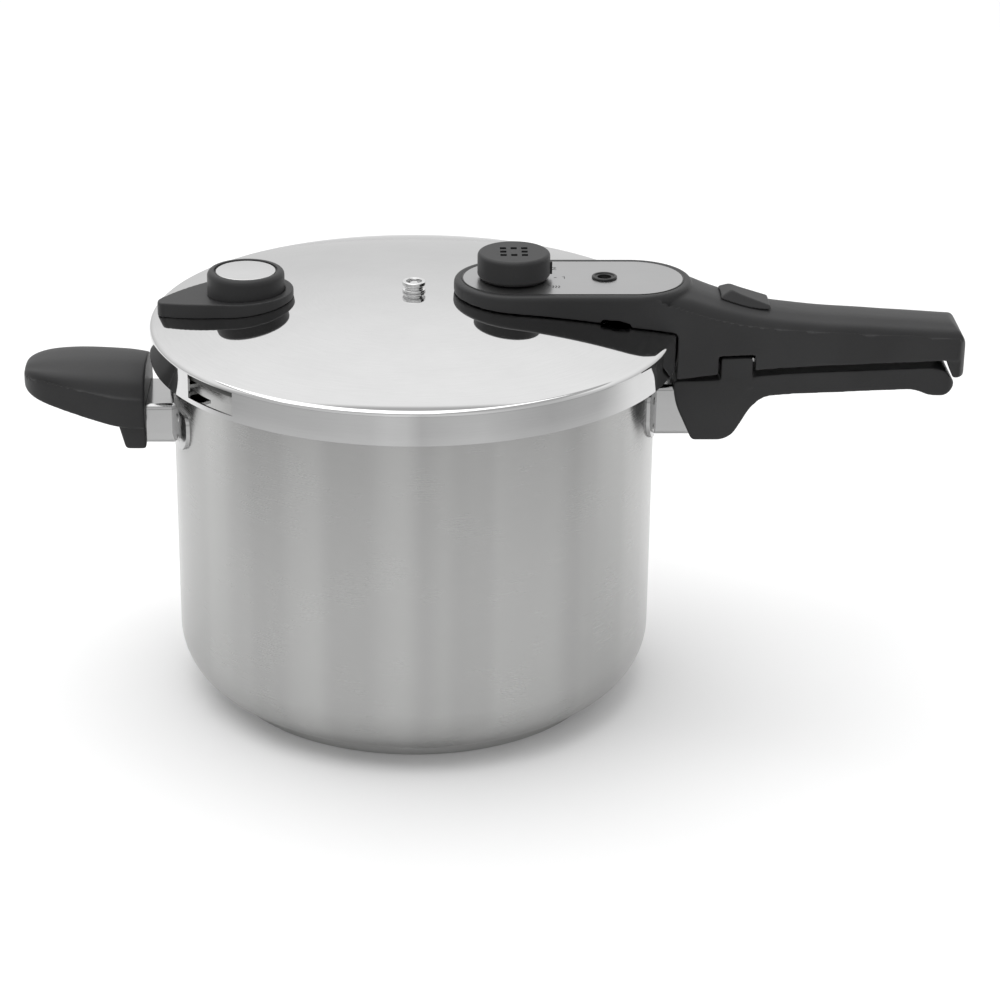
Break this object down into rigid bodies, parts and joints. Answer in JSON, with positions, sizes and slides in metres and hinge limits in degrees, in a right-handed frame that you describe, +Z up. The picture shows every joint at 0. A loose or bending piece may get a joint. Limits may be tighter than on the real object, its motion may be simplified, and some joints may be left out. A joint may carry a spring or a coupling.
{
  "type": "stovetop pressure cooker",
  "caption": "Tall steel stovetop pressure cooker with a domed bayonet lid, long black double handle, helper handle, dial valve and lid grip.",
  "frame": {"origin": "centre of the base's underside, on the pot's axis", "axes": "+Z up the pot's axis, +X along the long handle, +Y away from the side with the stop tab and the window"},
  "size_m": [0.4272, 0.24, 0.2083],
  "materials": {
    "pot_steel": "satin brushed",
    "mirror_steel": "mirror polished",
    "base_steel": "satin",
    "core_aluminium": "plain",
    "black_plastic": "fine matt grain",
    "inner_plastic": "smooth",
    "plate_silver": "fine satin",
    "disc_silver": "bright satin",
    "grey_silicone": "smooth silicone",
    "black_rubber": "smooth",
    "machined_steel": "turned",
    "bezel_dark": "gloss",
    "chrome_fitting": "polished",
    "fastener_steel": "plain",
    "spring_steel": "drawn wire"
  },
  "bodies": {
    "pot": {"pot_body": "pot_steel", "base_cap": "base_steel", "base_core": "core_aluminium", "main_bracket": "mirror_steel", "lower_handle": "black_plastic", "lower_handle_screw": "fastener_steel", "helper_bracket": "mirror_steel", "helper_handle": "black_plastic", "helper_screw": "fastener_steel"},
    "seal": {"sealing_ring": "grey_silicone"},
    "regulator_knob": {"knob_core": "inner_plastic", "knob_cap": "black_plastic"},
    "regulator_piston": {"valve_piston": "machined_steel", "piston_seal": "black_rubber"},
    "indicator": {"indicator_pin": "machined_steel", "indicator_seal": "black_rubber"},
    "safety": {"safety_plunger": "chrome_fitting"},
    "lock": {"lock_button": "black_plastic", "lock_bolt": "machined_steel", "lock_screw": "fastener_steel"},
    "lid": {"lid_shell": "mirror_steel", "lid_handle": "black_plastic", "handle_cover": "black_plastic", "grip_base": "black_plastic", "grip_cap": "black_plastic", "control_plate": "plate_silver", "grip_disc": "disc_silver", "valve_washer": "black_rubber", "indicator_gasket": "black_rubber", "indicator_washer": "black_rubber", "safety_washer": "black_rubber", "grip_washer": "black_rubber", "lid_bracket": "machined_steel", "valve_body": "machined_steel", "valve_nut": "machined_steel", "indicator_housing": "machined_steel", "indicator_nut": "machined_steel", "safety_nut": "machined_steel", "indicator_bezel": "bezel_dark", "safety_body": "chrome_fitting", "handle_cover_screws": "fastener_steel", "lid_handle_screw": "fastener_steel", "grip_screw": "fastener_steel", "valve_spring": "spring_steel", "safety_spring": "spring_steel", "lock_spring": "spring_steel"}
  },
  "joints": [
    {"name": "lid_lift", "type": "slide", "parent": "pot", "child": "seal", "axis": [0, 0, 1], "range_m": [0, 0.12]},
    {"name": "lid_twist", "type": "hinge", "parent": "seal", "child": "lid", "pos_m": [0, 0, 0.18], "axis": [0, 0, 1], "range_deg": [0, 30]},
    {"name": "knob_turn", "type": "hinge", "parent": "lid", "child": "regulator_knob", "pos_m": [0.045, 0, 0.2], "axis": [0, 0, 1], "range_deg": [-45, 45]},
    {"name": "piston_rise", "type": "slide", "parent": "lid", "child": "regulator_piston", "axis": [0, 0, 1], "range_m": [0, 0.002], "stiffness_N_per_m": 2500, "springref_m": -0.002, "deforming": ["valve_spring"]},
    {"name": "indicator_rise", "type": "slide", "parent": "lid", "child": "indicator", "axis": [0, 0, 1], "range_m": [0, 0.005]},
    {"name": "safety_rise", "type": "slide", "parent": "lid", "child": "safety", "axis": [0, 0, 1], "range_m": [0, 0.0015], "stiffness_N_per_m": 4000, "springref_m": -0.002, "deforming": ["safety_spring"]},
    {"name": "lock_slide", "type": "slide", "parent": "lid", "child": "lock", "axis": [0.9799, 0, -0.1994], "range_m": [0, 0.006], "stiffness_N_per_m": 300, "springref_m": -0.004, "deforming": ["lock_spring"]}
  ]
}
